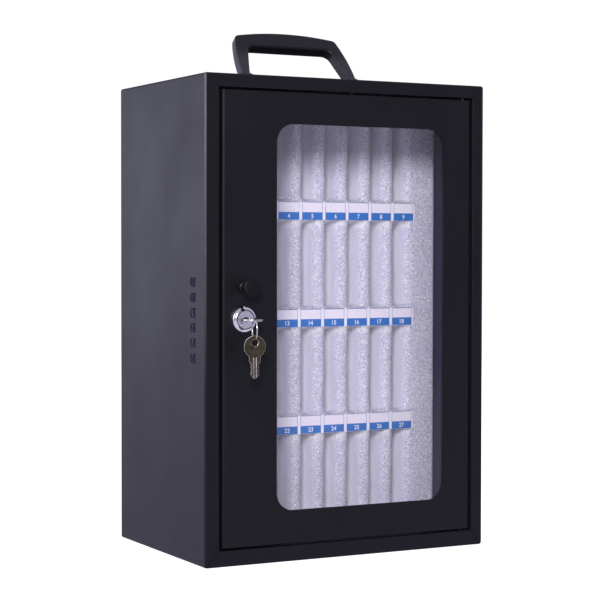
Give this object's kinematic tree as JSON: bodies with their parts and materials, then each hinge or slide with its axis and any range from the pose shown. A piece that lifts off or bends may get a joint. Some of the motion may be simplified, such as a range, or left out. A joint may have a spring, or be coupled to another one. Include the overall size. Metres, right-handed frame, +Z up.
{
  "type": "cell phone locker box",
  "caption": "Lockable steel cabinet with a windowed hinged door, cam lock, folding carry handle and foam slots that hold phones upright.",
  "frame": {"origin": "centre of the cabinet's underside", "axes": "+X to the right of someone facing the door, +Y from the door to the back, +Z up"},
  "size_m": [0.3, 0.236, 0.5064],
  "materials": {
    "black_paint": "fine-textured black powder coat on folded sheet steel",
    "zinc_steel": "bright zinc-plated steel",
    "lock_chrome": "satin chrome-plated lock",
    "key_nickel": "nickel-plated key, worn bright at its edges",
    "ring_steel": "bright spring wire",
    "handle_plastic": "moulded black plastic, satin",
    "knob_plastic": "moulded black plastic, slightly glossy",
    "white_foam": "white closed-cell foam",
    "white_card": "printed card behind clear film",
    "clear_pane": "clear acrylic sheet"
  },
  "bodies": {
    "cabinet": {"body_shell": "black_paint", "back_panel": "black_paint", "hinge_pin_top": "zinc_steel", "hinge_pin_bottom": "zinc_steel", "handle_brackets": "zinc_steel", "handle_pins": "zinc_steel", "bracket_rivets": "zinc_steel", "foam_backing": "white_foam", "foam_shelves": "white_foam", "foam_ribs_row_1": "white_foam", "foam_ribs_row_2": "white_foam", "foam_ribs_row_3": "white_foam", "foam_ribs_row_4": "white_foam", "label_strip_row_1": "white_card", "label_strip_row_2": "white_card", "label_strip_row_3": "white_card", "label_strip_row_4": "white_card"},
    "door": {"door_panel": "black_paint", "window_pane": "clear_pane", "pane_clips": "zinc_steel", "clip_nuts": "zinc_steel", "knob": "knob_plastic", "knob_screw": "zinc_steel", "lock_housing": "lock_chrome", "lock_nut": "lock_chrome"},
    "lock": {"lock_plug": "lock_chrome", "lock_cam": "zinc_steel", "cam_screw": "zinc_steel"},
    "key": {"key_in_lock": "key_nickel"},
    "ring": {"key_ring": "ring_steel"},
    "spare": {"spare_key": "key_nickel"},
    "handle": {"handle_grip": "handle_plastic"}
  },
  "joints": [
    {"name": "door_swing", "type": "hinge", "parent": "cabinet", "child": "door", "pos_m": [0.1287, -0.0945, 0.225], "axis": [0, 0, 1], "range_deg": [0, 105]},
    {"name": "lock_turn", "type": "hinge", "parent": "door", "child": "lock", "pos_m": [-0.1113, -0.1, 0.226], "axis": [0, 1, 0], "range_deg": [0, 90]},
    {"name": "key_pull", "type": "slide", "parent": "lock", "child": "key", "axis": [0, -1, 0], "range_m": [0, 0.03]},
    {"name": "ring_swing", "type": "hinge", "parent": "key", "child": "ring", "pos_m": [-0.11243, -0.12535, 0.2269], "axis": [0.2317, 0.9728, 0], "range_deg": [-20, 20]},
    {"name": "spare_key_swing", "type": "hinge", "parent": "ring", "child": "spare", "pos_m": [-0.1125, -0.12564, 0.2083], "axis": [0.2317, 0.9728, 0], "range_deg": [-45, 45]},
    {"name": "handle_fold", "type": "hinge", "parent": "cabinet", "child": "handle", "pos_m": [0, 0.0029, 0.4566], "axis": [1, 0, 0], "range_deg": [-51.7, 128.3]}
  ]
}
